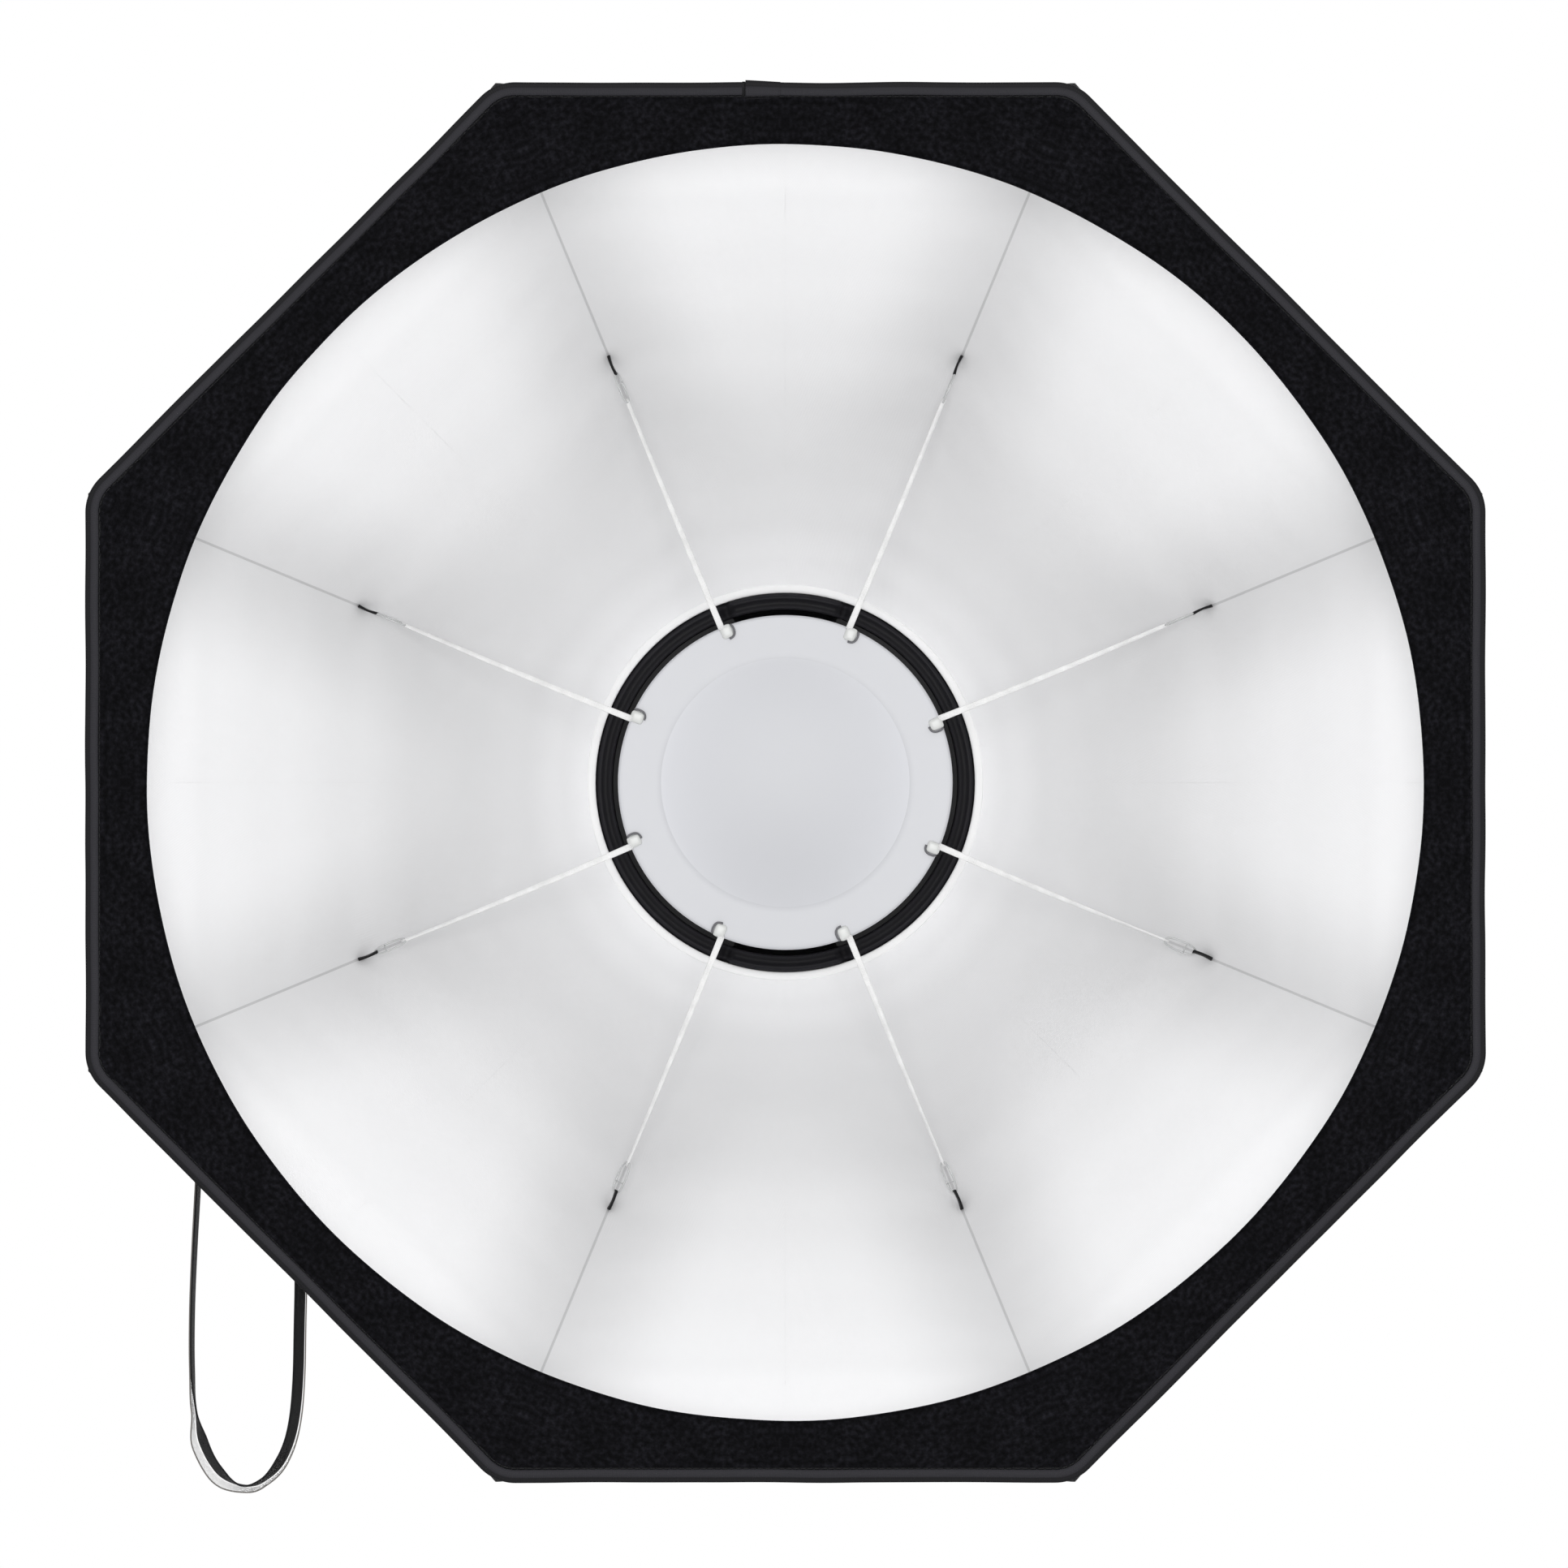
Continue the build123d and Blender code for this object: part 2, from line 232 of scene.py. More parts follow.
def gore_share(step, u):
    """Share of the half gore at a mesh step: fine near the rod, where the cloth bends."""
    turn = START_TURN + (END_TURN - START_TURN) * u
    middle = profile(turn, 0)[0] * sin(2 * HALF) / 2
    return two_paces(step, min(FINE_WIDTH / middle, FINE_STEPS))


def gore_place(azimuth, side, u, s, out):
    """u runs from the ring to the rim, and s from the rod to the gore's middle."""
    turn = START_TURN + (END_TURN - START_TURN) * u
    r, forward = profile(turn, 0)
    offset = chord_offset(s)
    flat = smooth(u / FLAT_FROM)
    r *= (cos(HALF) / cos(HALF - offset)) ** flat
    tilt = HALF * smooth((s - 0.5) / 0.5)
    lift = radial(azimuth + side * tilt) * cos(turn) - AWAY * sin(turn)
    return place(r, forward, azimuth + side * offset) + lift * out


def shell_place(number, side, azimuth, forward, out):
    """A point on the shell at an azimuth and a forward distance, in the flat part of a gore."""
    radius = ARC_RADIUS + SHELL_OUT + out
    r = ARC_R + sqrt(radius**2 - (ARC_D - forward) ** 2)
    offset = abs(azimuth - rod_azimuth(number))
    return place(r * cos(HALF) / cos(HALF - offset), forward, azimuth)


def add_object(name, data):
    obj = bpy.data.objects.new(name, data)
    bpy.context.scene.collection.objects.link(obj)
    return obj


def mesh_object(name, verts, faces, uvs):
    mesh = bpy.data.meshes.new(name)
    mesh.from_pydata([tuple(v) for v in verts], [], faces)
    layer = mesh.uv_layers.new(name="UVMap")
    for loop in mesh.loops:
        layer.data[loop.index].uv = uvs[loop.vertex_index]
    mesh.polygons.foreach_set("use_smooth", [True] * len(mesh.polygons))
    mesh.update()
    return add_object(name, mesh)


def grid(name, rows, cols, point, flip=False):
    """A sheet of rows x cols quads. point(i, j) gives a place and its cloth coordinates."""
    verts, uvs = [], []
    for i in range(rows + 1):
        for j in range(cols + 1):
            where, uv = point(i / rows, j / cols)
            verts.append(where)
            uvs.append(uv)
    faces = []
    for i in range(rows):
        for j in range(cols):
            a = i * (cols + 1) + j
            face = (a, a + 1, a + cols + 2, a + cols + 1)
            faces.append(face[::-1] if flip else face)
    return mesh_object(name, verts, faces, uvs)


def tube(name, rings, closed_ends=True, weld=0.0):
    """A skin over equal rings of points, with its faces outwards."""
    count = len(rings[0])
    verts = [p for ring in rings for p in ring]
    uvs = [(k / count, i / len(rings)) for i in range(len(rings)) for k in range(count)]
    faces = []
    for i in range(len(rings) - 1):
        for k in range(count):
            a = i * count + k
            b = i * count + (k + 1) % count
            faces.append((a, b, b + count, a + count))
    if closed_ends:
        faces.append(tuple(reversed(range(count))))
        faces.append(tuple(range(len(verts) - count, len(verts))))
    obj = mesh_object(name, verts, faces, uvs)
    face_outwards(obj, weld)
    return obj


def face_outwards(obj, weld=0.0):
    shape = bmesh.new()
    shape.from_mesh(obj.data)
    if weld:
        bmesh.ops.remove_doubles(shape, verts=shape.verts, dist=weld)
    bmesh.ops.recalc_face_normals(shape, faces=shape.faces)
    shape.to_mesh(obj.data)
    shape.free()


def spun(name, section, steps):
    """A solid turned round the lamp axis. section(azimuth) gives (radius, forward) pairs."""
    rings = []
    for i in range(steps + 1):
        azimuth = tau * (i % steps) / steps
        rings.append([place(r, forward, azimuth) for r, forward in section(azimuth)])
    return tube(name, rings, closed_ends=False, weld=1e-6)


def set_uv(obj, rule):
    """Cloth or tone coordinates from a rule on each corner's vertex number and place."""
    layer = obj.data.uv_layers[0].data
    for loop in obj.data.loops:
        spot = obj.data.vertices[loop.vertex_index].co
        layer[loop.index].uv = rule(loop.vertex_index, spot)


def squared(angle, power):
    """Cosine and sine of an angle, pressed towards a rounded square."""
    x, y = cos(angle), sin(angle)
    return copysign(abs(x) ** power, x), copysign(abs(y) ** power, y)


def rounded(count, power):
    """Points (x, y) from -1 to 1 round a circle, pressed towards a square below power 1."""
    return [squared(tau * k / count, power) for k in range(count)]


def flat_ring(centre, across, face, width, thick, count, power):
    """A flat rounded section about its centre."""
    return [centre + across * x * width / 2 + face * y * thick / 2 for x, y in rounded(count, power)]


def half_gores():
    """Each half gore: its rod's number, its word, its side of the rod and the rod's azimuth."""
    for number in range(1, GORES + 1):
        for word, side in (("ccw", 1), ("cw", -1)):
            yield number, word, side, rod_azimuth(number)


# --- materials
class Look:
    """A node tree, with short calls for the nodes that the materials share."""

    def __init__(self, tree):
        self.nodes = tree.nodes
        self.links = tree.links

    def node(self, kind, **values):
        made = self.nodes.new("ShaderNode" + kind)
        for key, value in values.items():
            if key in made.inputs:
                made.inputs[key].default_value = value
            else:
                setattr(made, key, value)
        return made

    def coordinates(self, kind):
        return self.node("TexCoord").outputs[kind]

    def split(self, vector):
        made = self.node("SeparateXYZ")
        self.links.new(vector, made.inputs[0])
        return made.outputs

    def calc(self, operation, a, b=None):
        made = self.node("Math", operation=operation)
        for socket, value in zip(made.inputs, (a, b)):
            if isinstance(value, (int, float)):
                socket.default_value = value
            elif value is not None:
                self.links.new(value, socket)
        return made.outputs[0]

    def times(self, a, b):
        return self.calc("MULTIPLY", a, b)

    def plus(self, a, b):
        return self.calc("ADD", a, b)

    def minus(self, a, b):
        return self.calc("SUBTRACT", a, b)

    def between(self, factor, low, high):
        """A colour from low to high."""
        made = self.node("Mix", data_type="RGBA")
        made.inputs["A"].default_value = (*low, 1)
        made.inputs["B"].default_value = (*high, 1)
        self.links.new(factor, made.inputs["Factor"])
        return made.outputs["Result"]

    def ramp(self, value, stops):
        """A smooth run of grey values through (place, value) stops."""
        made = self.node("ValToRGB")
        made.color_ramp.interpolation = "EASE"
        elements = made.color_ramp.elements
        for element, (where, grey) in zip((elements[0], elements[1]), (stops[0], stops[-1])):
            element.position = where
            element.color = (grey, grey, grey, 1)
        for where, grey in stops[1:-1]:
            elements.new(where).color = (grey, grey, grey, 1)
        self.links.new(value, made.inputs["Fac"])
        return made.outputs["Color"]

    def map_range(self, value, limits, interpolation="LINEAR"):
        """limits are the value's two ends and the two results."""
        made = self.node("MapRange", interpolation_type=interpolation)
        self.links.new(value, made.inputs["Value"])
        for name, limit in zip(("From Min", "From Max", "To Min", "To Max"), limits):
            made.inputs[name].default_value = limit
        return made.outputs["Result"]

    def noise(self, vector, scale, detail=4.0):
        made = self.node("TexNoise", Scale=scale, Detail=detail)
        self.links.new(vector, made.inputs["Vector"])
        return made.outputs["Fac"]

    def weave(self, uv, pitch, across_share=1.0):
        """Threads crossing at right angles, from cloth coordinates in metres."""
        parts = self.split(uv)
        first = self.calc("SINE", self.times(parts["X"], tau / pitch))
        second = self.calc("SINE", self.times(parts["Y"], tau / (pitch * across_share)))
        return self.plus(self.times(first, second), self.times(first, 0.4))


class Finish(Look):
    """A material, with calls for what its shader takes."""

    def __init__(self, name, color, roughness):
        self.material = bpy.data.materials.new(name)
        self.material.use_nodes = True
        super().__init__(self.material.node_tree)
        self.shader = self.nodes["Principled BSDF"]
        self.finish(Base_Color=(*color, 1), Roughness=roughness)

    def finish(self, **values):
        """Each constant goes straight on the shader's own socket."""
        for name, value in values.items():
            self.shader.inputs[name.replace("_", " ")].default_value = value
        return self.material

    def paint(self, factor, low, high):
        self.links.new(self.between(factor, low, high), self.shader.inputs["Base Color"])

    def roughen(self, factor, low, high):
        self.links.new(self.map_range(factor, (0.0, 1.0, low, high)), self.shader.inputs["Roughness"])

    def bump(self, height, strength, distance):
        made = self.node("Bump", Strength=strength, Distance=distance)
        self.links.new(height, made.inputs["Height"])
        self.links.new(made.outputs["Normal"], self.shader.inputs["Normal"])


# Painted light and shade on the lining: painted shade in the deep part and beside
# the seams, paler near the ring and at the rim. Stops are (share of the way from ring to rim, value).
LINING_PAINTED_SHADE = [
    (0.0, 0.95), (0.05, 0.86), (0.12, 0.77), (0.24, 0.72), (0.33, 0.725),
    (0.45, 0.79), (0.60, 0.86), (0.74, 0.915), (0.80, 0.97), (0.88, 1.0),
]
SEAM_SHADE = [(0.0, 0.03), (0.2, 0.06), (0.38, 0.15), (0.5, 0.2), (0.72, 0.18), (1.0, 0.10)]
SHADE_WIDTH = 0.062
SEAM_LINE = 0.0006
# Painted light round the binding's section, from its outer edge over the front to its back: painted shade
# on the outer slope and in the groove, a painted highlight on the crown
TAPE_PAINTED_LIGHT = [(0.0, 0.05), (0.20, 0.12), (0.235, 0.9), (0.34, 1.0), (0.362, 0.01), (0.45, 0.1), (1.0, 0.1)]
TAPE_RIB = 0.0009
# Painted light across the trim, from its bore over the inner step to its outer edge: painted shade in the
# bore and the step, painted highlights on the ridge and near the outer edge
TRIM_PAINTED_LIGHT = [
    (0.0, 0.0), (0.57, 0.0), (0.60, 0.5), (0.65, 0.5),
    (0.72, 0.3), (0.82, 0.34), (0.93, 0.62), (1.0, 0.3),
]


def shaded(color, share):
    return tuple(min(1.0, c * share) for c in color)


def satin_material():
    """White satin lining: fine weave, soft shine, painted shade deep in the bowl and beside the seams, and
    a grey line of painted shade at each seam.
    """
    look = Finish("white_satin_lining", (0.86, 0.86, 0.875), 0.42)
    uv = look.coordinates("UV")
    parts = look.split(uv)
    out_share = look.calc("DIVIDE", parts["Y"], PROFILE_LENGTH)
    # painted light and shade from the ring to the rim, and painted shade beside the seams
    tone = look.ramp(out_share, LINING_PAINTED_SHADE)
    shade = look.ramp(out_share, SEAM_SHADE)
    drop = look.times(look.map_range(parts["X"], (0.0, SHADE_WIDTH, 1.0, 0.0), "SMOOTHSTEP"), shade)
    blotch = look.times(look.noise(uv, 9.0, 3.0), 0.06)
    keep = look.minus(look.minus(1.03, blotch), drop)
    # a painted shade line along each seam
    seam = look.calc("LESS_THAN", parts["X"], SEAM_LINE)
    keep = look.minus(keep, look.times(seam, 0.20))
    look.paint(look.times(tone, keep), (0.0, 0.0, 0.004), (0.99, 0.99, 1.0))
    creases = look.times(look.noise(uv, 55.0, 5.0), 3.0)
    look.bump(look.plus(look.weave(uv, 0.0005, 2.4), creases), 0.16, 0.0003)
    return look.finish(Specular_IOR_Level=0.5, Sheen_Weight=0.1, Sheen_Roughness=0.4)


def nylon_material():
    """Black coated nylon: a plain weave with soft creases and an uneven gloss."""
    look = Finish("black_nylon", (0.012, 0.012, 0.014), 0.5)
    uv = look.coordinates("UV")
    tone = look.noise(uv, 30.0)
    look.paint(tone, (0.010, 0.010, 0.012), (0.024, 0.024, 0.027))
    creases = look.times(look.noise(uv, 40.0, 5.0), 4.0)
    look.bump(look.plus(look.weave(uv, 0.0008), creases), 0.3, 0.0004)
    look.roughen(tone, 0.42, 0.62)
    return look.finish(Sheen_Weight=0.03, Specular_IOR_Level=0.3)


def velour_material():
    """Black loop pile: no shine, a soft lie that changes over the cloth."""
    look = Finish("black_velour", (0.004, 0.004, 0.005), 0.95)
    uv = look.coordinates("UV")
    pile = look.noise(uv, 420.0, 4.0)
    lie = look.noise(uv, 45.0, 3.0)
    both = look.times(look.calc("POWER", pile, 3.0), lie)
    look.paint(both, (0.0005, 0.0005, 0.0007), (0.050, 0.049, 0.064))
    look.bump(pile, 0.8, 0.0006)
    return look.finish(Specular_IOR_Level=0.08, Sheen_Weight=0.015, Sheen_Roughness=0.5)


def tape_material(name, color, roughness, pitch=0.0007, sheen=0.05, specular=0.25):
    """Woven tape: ribs across its length and a little sheen."""
    look = Finish(name, color, roughness)
    uv = look.coordinates("UV")
    look.paint(look.noise(uv, 120.0), shaded(color, 0.75), shaded(color, 1.25))
    look.bump(look.weave(uv, pitch, 1.6), 0.35, 0.0003)
    return look.finish(Sheen_Weight=sheen, Specular_IOR_Level=specular)


def binding_material():
    """Bias tape: a painted highlight makes its crown paler than its outer slope and its groove, which carry
    painted shade.
    """
    look = Finish("binding_tape", (0.02, 0.02, 0.022), 0.5)
    uv = look.coordinates("UV")
    parts = look.split(uv)
    tone = look.plus(look.times(look.noise(uv, 90.0), 0.6), 0.7)
    # painted highlight on the crown, painted shade on the slope and in the groove, with a random mottle
    painted_crown_light = look.times(look.ramp(parts["X"], TAPE_PAINTED_LIGHT), tone)
    look.paint(painted_crown_light, (0.002, 0.002, 0.003), (0.0232, 0.0226, 0.0272))
    look.bump(look.calc("SINE", look.times(parts["Y"], tau / TAPE_RIB)), 0.3, 0.0003)
    return look.finish(Sheen_Weight=0.03, Specular_IOR_Level=0.15)


def hard_material(name, color, roughness, metallic=0.0, grain=600.0, bump=0.15, specular=0.5, vary=0.13):
    """Moulded, painted or machined stock: a fine grain and worn gloss."""
    look = Finish(name, color, roughness)
    where = look.coordinates("Object")
    wide = look.noise(where, 25.0, 3.0)
    look.paint(wide, shaded(color, 1 - vary), shaded(color, 1 + vary))
    look.roughen(wide, roughness * 0.85, min(1.0, roughness * 1.2))
    look.bump(look.noise(where, grain, 5.0), bump, 0.0002)
    return look.finish(Metallic=metallic, Specular_IOR_Level=specular)


def ring_material():
    """Satin black trim with painted light: painted shade darkest in its bore, a painted highlight palest
    near its outer edge.
    """
    look = Finish("black_powder_coat", (0.01, 0.01, 0.011), 0.36)
    # painted shade and highlights by the share of the way across the trim
    tone = look.ramp(look.split(look.coordinates("UV"))["X"], TRIM_PAINTED_LIGHT)
    look.paint(tone, (0.0006, 0.0006, 0.0008), (0.030, 0.029, 0.034))
    look.bump(look.noise(look.coordinates("Object"), 900.0), 0.2, 0.0003)
    return look.finish(Specular_IOR_Level=0.06)


def disc_material():
    """Frosted white with painted light: the dome is painted darker at its middle and lighter outwards, most
    towards its left and right sides; the flat rim is painted a little lighter to the left and right.
    """
    look = Finish("frosted_white_disc", (0.52, 0.53, 0.55), 0.35)
    parts = look.split(look.coordinates("UV"))
    sideways, upwards = (look.calc("POWER", look.calc("ABSOLUTE", parts[axis]), 2.0) for axis in "XY")
    out = look.plus(sideways, upwards)
    within = look.calc("LESS_THAN", out, DOME_RADIUS**2 * 0.96)
    # painted light: lighter out towards the dome's edge, more to the left and right, and a little lighter
    # sideways on the flat rim
    dome = look.times(out, 0.37 / DOME_RADIUS**2)
    sides = look.times(sideways, 0.53 / DOME_RADIUS**2)
    inner = look.plus(look.plus(dome, sides), 0.06)
    outer = look.plus(look.times(sideways, 0.13 / DISC_RADIUS**2), 0.20)
    step = look.times(look.minus(inner, outer), within)
    look.paint(look.plus(outer, step), (0.466, 0.472, 0.495), (0.617, 0.624, 0.655))
    return look.material


def backing_material():
    """The strap's thin white ply: light from behind shows through it."""
    look = Finish("pale_backing", (0.98, 0.98, 0.98), 0.5)
    look.paint(look.noise(look.coordinates("UV"), 90.0), (0.96, 0.96, 0.96), (1.0, 1.0, 1.0))
    return look.finish(Transmission_Weight=0.75, IOR=1.1, Sheen_Weight=0.3)


def clear_material():
    """Clear moulded plastic with a faintly uneven skin."""
    look = Finish("clear_plastic", (0.62, 0.63, 0.63), 0.15)
    look.bump(look.noise(look.coordinates("Object"), 300.0), 0.1, 0.0002)
    return look.finish(Transmission_Weight=0.35, Coat_Weight=0.4)


def all_materials():
    return {
        "satin": satin_material(),
        "nylon": nylon_material(),
        "velour": velour_material(),
        "binding": binding_material(),
        "webbing": tape_material("black_webbing", (0.008, 0.008, 0.009), 0.6, 0.0011, 0.02, 0.15),
        "backing": backing_material(),
        "selvedge": tape_material("grey_selvedge", (0.16, 0.15, 0.14), 0.5, 0.0009),
        "thread": tape_material("black_thread", (0.004, 0.004, 0.005), 0.5, 0.0004),
        "elastic": tape_material("white_elastic", (0.80, 0.80, 0.80), 0.55, 0.0008),
        "ring": ring_material(),
        "body": hard_material("black_anodised", (0.006, 0.006, 0.007), 0.36, 0.0, 900.0, 0.25, 0.10),
        "insert": hard_material("black_anodised", (0.02, 0.02, 0.022), 0.35, 0.7, 500.0),
        "rubber": hard_material("grip_rubber", (0.02, 0.02, 0.02), 0.8, 0.0, 400.0, 0.4),
        "steel": hard_material("satin_steel", (0.45, 0.45, 0.46), 0.33, 1.0, 800.0),
        "rod": hard_material("fibreglass_rod", (0.03, 0.03, 0.033), 0.3, 0.0, 700.0),
        "disc": disc_material(),
        "clip": hard_material("white_clip", (0.60, 0.61, 0.60), 0.25, 0.0, 500.0, 0.05, 0.4, 0.05),
        "clear": clear_material(),
        "hem": hard_material("white_hem", (0.93, 0.93, 0.93), 0.5, 0.0, 900.0, 0.1, 0.3, 0.03),
        "hook": hard_material("grey_hook", (0.10, 0.10, 0.11), 0.3),
    }


def dress(obj, mat):
    obj.data.materials.clear()
    obj.data.materials.append(mat)


# --- camera, room
def make_camera():
    data = bpy.data.cameras.new("camera")
    camera = add_object("camera", data)
    data.sensor_width = 36
    data.lens = CAMERA_LENS
    camera.location = CAMERA_PLACE
    camera.rotation_euler = (radians(90), 0, 0)
    bpy.context.scene.camera = camera


def make_light(name, place_at, aim, power):
    data = bpy.data.lights.new(name, "AREA")
    data.shape = "SQUARE"
    data.size = LAMP_SIZE
    data.energy = power
    light = add_object(name, data)
    light.location = place_at
    direction = Vector(aim) - Vector(place_at)
    light.rotation_euler = direction.to_track_quat("-Z", "Y").to_euler()


def make_world():
    """White to the camera; as light, brightest to the sides and straight ahead."""
    world = bpy.data.worlds.new("studio")
    world.use_nodes = True
    bpy.context.scene.world = world
    look = Look(world.node_tree)
    ahead = look.times(look.split(look.coordinates("Generated"))["Y"], -1.0)
    mix = look.node("Mix", data_type="RGBA")
    mix.inputs["B"].default_value = (1, 1, 1, 1)
    look.links.new(look.ramp(ahead, ROOM_LIGHT), mix.inputs["A"])
    look.links.new(look.node("LightPath").outputs["Is Camera Ray"], mix.inputs["Factor"])
    look.links.new(mix.outputs["Result"], look.nodes["Background"].inputs["Color"])


def make_room():
    make_world()
    bpy.context.scene.view_settings.view_transform = "Standard"
    look = Finish("pale_floor", (0.82, 0.82, 0.82), 0.7)
    look.paint(look.noise(look.coordinates("Object"), 2.0), (0.80, 0.80, 0.80), (0.84, 0.84, 0.84))
    bpy.ops.mesh.primitive_circle_add(
        vertices=96, radius=FLOOR_RADIUS, fill_type="NGON", location=(0, 0, -FLOOR_DEPTH)
    )
    floor = bpy.context.object
    floor.name = "floor"
    floor.data.materials.append(look.material)
    make_light("light_front", (0, -4.2, 0.3), (0, 0, 0), FRONT_POWER)
    make_light("light_above", (0, -0.9, 2.6), (0, 0, 0), ABOVE_POWER)
    make_light("light_back", (1.6, 2.4, 1.8), (0, 0.1, 0), BACK_POWER)


# --- carry strap
def route_line(route):
    """Points along the route's own smooth spline."""
    curve = bpy.data.curves.new("strap_route", "CURVE")
    curve.dimensions = "3D"
    curve.resolution_u = 10
    spline = curve.splines.new("NURBS")
    spline.points.add(len(route) - 1)
    for point, where in zip(spline.points, route):
        point.co = (*where, 1)
    spline.order_u = 3
    spline.use_endpoint_u = True
    holder = add_object("strap_route", curve)
    bpy.context.view_layer.update()
    line = bpy.data.meshes.new_from_object(holder)
    points = [v.co.copy() for v in line.vertices]
    bpy.data.objects.remove(holder)
    bpy.data.meshes.remove(line)
    return points


def along(keys, t):
    """A smooth value through listed keys (place, value)."""
    for (t0, v0), (t1, v1) in zip(keys, keys[1:]):
        if t <= t1:
            return v0 + (v1 - v0) * smooth((t - t0) / (t1 - t0))
    return keys[-1][1]


def ribbon_rings(points, width, thick, lean, shift=None):
    """Flat rounded sections along a line. lean is in degrees, and shift moves each centre."""
    rings = []
    total = len(points) - 1
    for i, here in enumerate(points):
        t = i / total
        ahead = points[min(i + 1, total)] - points[max(i - 1, 0)]
        ahead.normalize()
        across = Matrix.Rotation(radians(along(lean, t)), 3, ahead) @ Vector((0, 1, 0))
        face = ahead.cross(across).normalized()
        centre = here + (shift(t, ahead, across, face) if shift else Vector())
        rings.append(flat_ring(centre, across, face, width, thick, 16, 0.45))
    return rings


# Lean of the strap's two plies along its length, in degrees: negative is inwards
WEB_LEAN = [
    (0, 9), (0.24, 7), (0.30, -6), (0.36, -36), (0.43, -33),
    (0.52, -4), (0.58, -14), (0.66, -30), (1, -33),
]
PALE_LEAN = [(0, 8), (0.24, 6), (0.30, 5), (0.37, 17), (0.46, 21), (0.54, 12), (0.60, 8), (0.68, 6), (1, 3)]


def make_strap(mats):
    """The carry strap: a black web and a pale backing, which gape where it turns."""
    route = [(x, -STRAP_FORWARD, z) for x, z in STRAP_ROUTE]
    points = route_line(route)

    def pale_shift(t, ahead, across, face):
        web_across = Matrix.Rotation(radians(along(WEB_LEAN, t)), 3, ahead) @ Vector((0, 1, 0))
        return web_across * STRAP_WIDTH / 2 - across * STRAP_WIDTH * PALE_SHARE / 2 - face * 0.0007

    def edge_shift(t, ahead, across, face):
        return pale_shift(t, ahead, across, face) - across * STRAP_WIDTH * PALE_SHARE / 2

    web = tube("strap_web", ribbon_rings(points, STRAP_WIDTH, 0.0010, WEB_LEAN))
    width = STRAP_WIDTH * PALE_SHARE
    pale = tube("strap_backing", ribbon_rings(points, width, 0.0003, PALE_LEAN, pale_shift))
    edge = tube("strap_selvedge", ribbon_rings(points, 0.0005, 0.0006, PALE_LEAN, edge_shift))
    for piece, look, slot in (
        (web, "webbing", "black_webbing"),
        (pale, "backing", "elastic_white"),
        (edge, "selvedge", "black_webbing"),
    ):
        dress(piece, mats[look])
        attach(piece, "panel_5_ccw")
    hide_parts("carry_strap")
    make_strap_ends(mats, route[0], route[1], "left")
    make_strap_ends(mats, route[-1], route[-2], "right")


def make_strap_ends(mats, end, before, word):
    """A sewn patch on the shell and the strap's tucked end between it and the strap."""
    end, before = Vector(end), Vector(before)
    up = (end - before).normalized()
    reach = end + up * 0.006
    azimuth = atan2(reach.z, reach.x) % tau

    def point(i, j):
        a, b = 2 * i - 1, 2 * j - 1
        pillow = (1 - abs(a) ** 5) * (1 - abs(b) ** 5)
        stitch = exp(-(((max(abs(a), abs(b)) - 0.72) / 0.06) ** 2))
        out = 0.0002 + 0.0013 * pillow - 0.0006 * stitch
        where = shell_place(5, 1, azimuth + a * 0.022, STRAP_FORWARD + b * 0.0065, out)
        return where, (a * 0.007, b * 0.0065)

    patch = grid(f"strap_patch_{word}", 24, 24, point)
    hold = shell_place(5, 1, azimuth, STRAP_FORWARD, 0.0026)
    line = []
    for t in evenly(12):
        bow = end + up * 0.004
        line.append(end.lerp(bow, t).lerp(bow.lerp(hold, t), t))
    lean = WEB_LEAN[0][1] if word == "left" else -WEB_LEAN[-1][1]
    stub = tube(f"strap_tuck_{word}", ribbon_rings(line, STRAP_WIDTH, 0.0011, [(0, lean), (1, lean * 0.3)]))
    for piece in (patch, stub):
        dress(piece, mats["webbing"])
        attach(piece, "panel_5_ccw")


# --- canopy
def cloth_wave(azimuth, u):
    """Small out-of-plane waves of the cloth, the same for neighbouring pieces."""
    spot = Vector((cos(azimuth) * 2.2, u * 2.0, sin(azimuth) * 2.2))
    broad = noise.noise(spot * 1.7)
    seam_phase = (azimuth - HALF) / (2 * HALF) % 1.0
    from_seam = min(seam_phase, 1 - seam_phase) * 2
    hold = smooth(from_seam / 0.18)
    pucker = smooth(1 - from_seam / 0.55) * hold
    ripples = sin(u * 95 + 5 * sin(azimuth * 3)) * 0.00022 * pucker
    near_rim = smooth((u - 0.72) / 0.25)
    folds = noise.noise(radial(azimuth) * 9.0 + AWAY * (u * 3.0 + 4.2)) * 0.0012 * near_rim
    return hold * (broad * 0.0009 + folds) + ripples


def half_gore(name, azimuth, side, out, reach, flip):
    """Half a gore of cloth, from the rod to just past its middle."""

    def point(i, j):
        u = i * reach
        s = gore_share(j, u) * MIDDLE_OVERLAP
        groove = SEAM_GROOVE * (1 - smooth(s / 0.03)) if out == 0 else 0
        wave = cloth_wave(azimuth + side * chord_offset(s), u)
        where = gore_place(azimuth, side, u, s, out + wave + groove)
        width = where.dot(tangent(azimuth)) * side
        return where, (width, u * PROFILE_LENGTH)

    return grid(name, 72, 25, point, flip)


def bend_with_rod(obj):
    """Bakes the piece's placement into its mesh."""
    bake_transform(obj)


